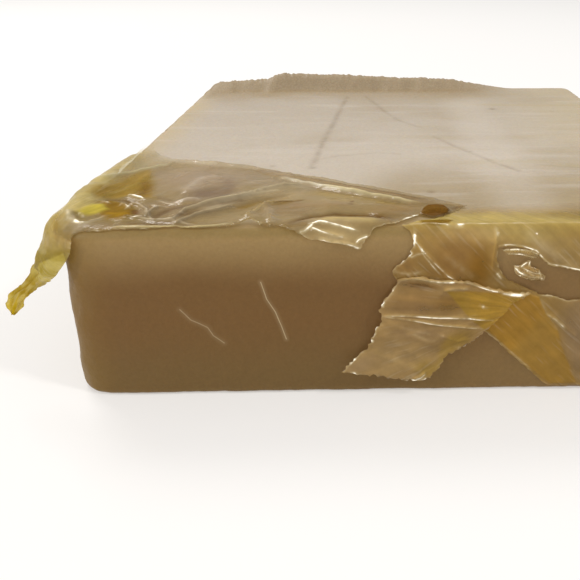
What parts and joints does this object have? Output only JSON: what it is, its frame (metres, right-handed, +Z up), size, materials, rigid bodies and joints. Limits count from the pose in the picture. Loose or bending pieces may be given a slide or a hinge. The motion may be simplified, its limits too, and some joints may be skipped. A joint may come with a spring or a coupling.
{
  "type": "rosin cake",
  "caption": "Cast rosin cake, a rounded slab with a raised rough lip along its rear edge, in the torn remains of a clear wrapper whose loose flap lifts on its fold.",
  "frame": {"origin": "centre of the cake's 50 x 58 mm outline, on the plane it rests on", "axes": "+Z up out of the poured face, -Y out of the face the wrapper was torn open on, +Y towards the raised lip, +X to the right seen from the torn face"},
  "size_m": [0.055, 0.0588, 0.015],
  "materials": {
    "rosin": "cast resin: matt greyish poured face, satin brown sides with a warm glow near the edges",
    "film": "thin clear yellowed cellophane, glossy, crumpled and creased"
  },
  "bodies": {
    "cake": {"rosin_cake": "rosin"},
    "corner_film": {"corner_wrapper": "film"},
    "front_film": {"front_wrapper": "film"},
    "flap": {"torn_flap": "film"}
  },
  "joints": [
    {"name": "corner_lift", "type": "slide", "parent": "cake", "child": "corner_film", "axis": [0, 0, 1], "range_m": [0, 0.025]},
    {"name": "front_pull", "type": "slide", "parent": "cake", "child": "front_film", "axis": [0, -1, 0], "range_m": [0, 0.03]},
    {"name": "flap_fold", "type": "hinge", "parent": "front_film", "child": "flap", "pos_m": [0.00385, -0.02962, 0.00868], "axis": [-0.9916, 0, 0.1291], "range_deg": [0, 150]}
  ]
}
